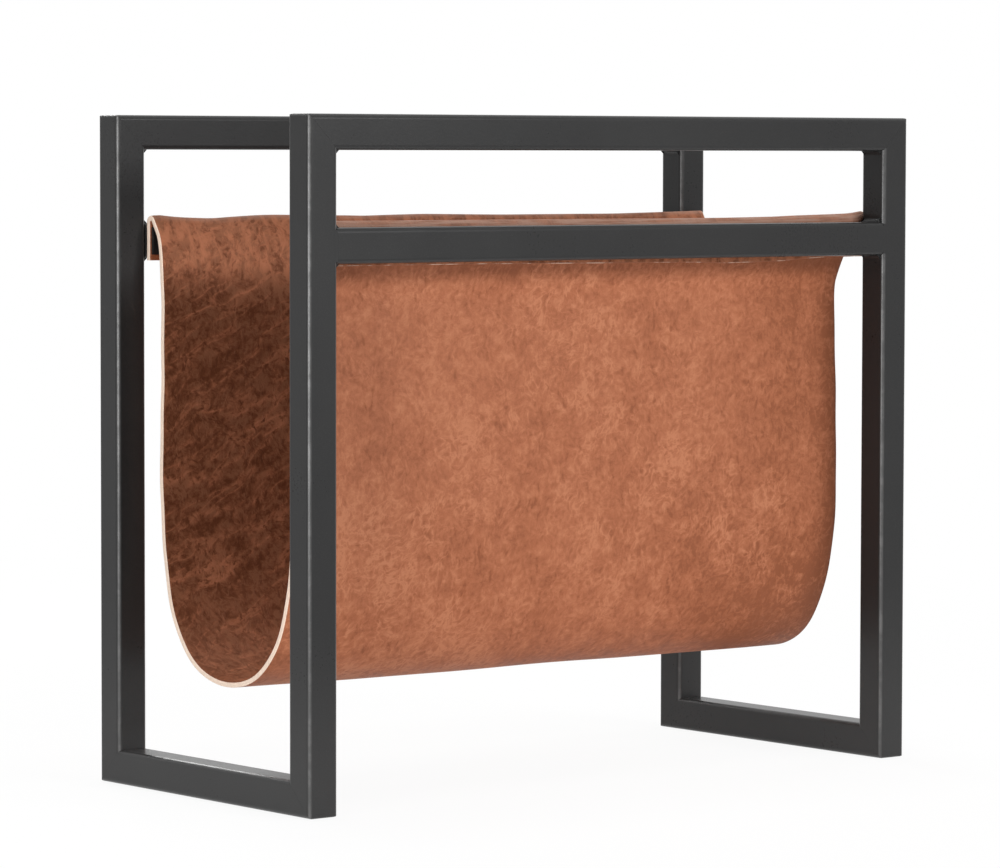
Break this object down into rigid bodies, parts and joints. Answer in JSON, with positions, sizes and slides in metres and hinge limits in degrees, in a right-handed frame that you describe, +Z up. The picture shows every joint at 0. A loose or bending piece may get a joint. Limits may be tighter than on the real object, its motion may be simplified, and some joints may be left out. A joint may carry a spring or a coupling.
{
  "type": "magazine basket",
  "caption": "Open-ended magazine basket: a leather sling hangs in a U between the rails of a welded square-tube frame that stands on two floor rails.",
  "frame": {"origin": "on the floor, under the middle of the basket's outer box", "axes": "+X along the basket's length, +Y from its front to its back, +Z up"},
  "size_m": [0.452, 0.207, 0.39],
  "materials": {
    "frame_steel": "satin charcoal powder coat",
    "weld_bead": "satin charcoal powder coat over a small fillet weld",
    "leather": "tan waxed leather, mottled, with pale raw cut edges",
    "strip_steel": "black painted flat bar",
    "screw_steel": "black coated thread-forming screw"
  },
  "bodies": {
    "root": {"bottom_rail_left": "frame_steel", "bottom_rail_right": "frame_steel", "clamp_strip_back": "strip_steel", "clamp_strip_front": "strip_steel", "leather_sling": "leather", "leg_back_left": "frame_steel", "leg_back_right": "frame_steel", "leg_front_left": "frame_steel", "leg_front_right": "frame_steel", "sling_rail_back": "frame_steel", "sling_rail_front": "frame_steel", "strip_screw_back_1": "screw_steel", "strip_screw_back_2": "screw_steel", "strip_screw_back_3": "screw_steel", "strip_screw_back_4": "screw_steel", "strip_screw_back_5": "screw_steel", "strip_screw_front_1": "screw_steel", "strip_screw_front_2": "screw_steel", "strip_screw_front_3": "screw_steel", "strip_screw_front_4": "screw_steel", "strip_screw_front_5": "screw_steel", "top_rail_back": "frame_steel", "top_rail_front": "frame_steel", "weld_over_back_left": "weld_bead", "weld_over_back_right": "weld_bead", "weld_over_front_left": "weld_bead", "weld_over_front_right": "weld_bead", "weld_top_back_left": "weld_bead", "weld_top_back_right": "weld_bead", "weld_top_front_left": "weld_bead", "weld_top_front_right": "weld_bead", "weld_under_back_left": "weld_bead", "weld_under_back_right": "weld_bead", "weld_under_front_left": "weld_bead", "weld_under_front_right": "weld_bead"}
  },
  "joints": []
}
